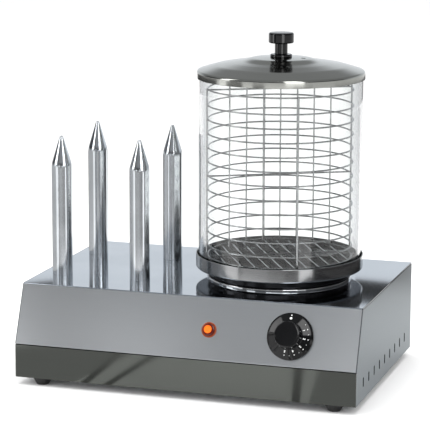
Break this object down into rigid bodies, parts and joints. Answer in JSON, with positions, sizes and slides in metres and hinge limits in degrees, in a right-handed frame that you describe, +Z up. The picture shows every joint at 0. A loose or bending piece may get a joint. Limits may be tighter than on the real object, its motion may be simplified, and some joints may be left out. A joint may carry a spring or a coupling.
{
  "type": "hot dog steamer with bun spikes",
  "caption": "Countertop hot dog steamer: glass cylinder with wire basket and lid over a water pan, heated bun spikes beside it, on a low steel housing with a thermostat knob.",
  "frame": {"origin": "on the floor plane, under the middle of the whole object's outline", "axes": "+Z up, -Y towards the person at the thermostat knob, +X to that person's right"},
  "size_m": [0.425, 0.3244, 0.4235],
  "materials": {
    "top_steel": "satin brushed front, bright polished top",
    "panel_steel": "satin brushed",
    "lower_steel": "polished, darker",
    "base_steel": "dull",
    "spike_steel": "polished",
    "pan_steel": "polished",
    "lid_steel": "polished",
    "trim_chrome": "bright",
    "wire_steel": "bright drawn wire",
    "glass": "clear, polished ends",
    "black_plastic": "gloss black",
    "foot_rubber": "matt",
    "lamp_amber": "clear amber",
    "cast_aluminium": "machined top",
    "heater_steel": "heat tinted",
    "fixing_steel": "zinc plated",
    "control_body": "moulded",
    "gland_plastic": "moulded",
    "bulb_copper": "plain",
    "lead_sleeve": "glass sleeve"
  },
  "bodies": {
    "housing": {"base_plate": "base_steel", "bun_spike_inner_front": "spike_steel", "bun_spike_inner_rear": "spike_steel", "bun_spike_outer_front": "spike_steel", "bun_spike_outer_rear": "spike_steel", "cable_gland": "gland_plastic", "earth_stud": "fixing_steel", "foot_front_left": "foot_rubber", "foot_front_right": "foot_rubber", "foot_rear_left": "foot_rubber", "foot_rear_right": "foot_rubber", "foot_screws": "fixing_steel", "front_lower_panel": "lower_steel", "gland_nut": "gland_plastic", "heating_element": "heater_steel", "hot_plate": "cast_aluminium", "lamp_body": "control_body", "lamp_clip": "control_body", "lamp_lens": "lamp_amber", "lead_earth": "lead_sleeve", "lead_lamp": "lead_sleeve", "lead_live": "lead_sleeve", "lead_neutral": "lead_sleeve", "panel_screws": "fixing_steel", "plate_clamp_nuts": "fixing_steel", "plate_clamp_strap": "fixing_steel", "plate_clamp_studs": "fixing_steel", "plate_trim_ring": "trim_chrome", "rear_panel": "panel_steel", "safety_cutout": "control_body", "sensor_bulb": "bulb_copper", "side_panel_left": "panel_steel", "side_panel_right": "panel_steel", "spike_heaters": "heater_steel", "spike_nuts": "fixing_steel", "spike_washers": "fixing_steel", "terminal_block": "control_body", "thermostat_body": "control_body", "thermostat_nut": "fixing_steel", "top_cover": "top_steel"},
    "pan": {"water_pan": "pan_steel"},
    "glass": {"glass_cylinder": "glass"},
    "basket": {"basket_hoops": "wire_steel", "basket_uprights": "wire_steel", "basket_divider": "wire_steel", "basket_floor": "wire_steel"},
    "lid": {"lid": "lid_steel", "lid_knob": "black_plastic", "lid_knob_screw": "fixing_steel", "lid_knob_washer": "lid_steel"},
    "dial": {"thermostat_knob": "black_plastic", "thermostat_shaft": "fixing_steel"}
  },
  "joints": [
    {"name": "pan_lift", "type": "slide", "parent": "housing", "child": "pan", "axis": [0, 0, 1], "range_m": [0, 0.06]},
    {"name": "glass_lift", "type": "slide", "parent": "pan", "child": "glass", "axis": [0, 0, 1], "range_m": [0, 0.08]},
    {"name": "basket_lift", "type": "slide", "parent": "glass", "child": "basket", "axis": [0, 0, 1], "range_m": [0, 0.25]},
    {"name": "lid_lift", "type": "slide", "parent": "basket", "child": "lid", "axis": [0, 0, 1], "range_m": [0, 0.08]},
    {"name": "dial_turn", "type": "hinge", "parent": "housing", "child": "dial", "pos_m": [0.13, -0.13858, 0.08436], "axis": [0, 0.9276, -0.3737], "range_deg": [0, 300]}
  ]
}
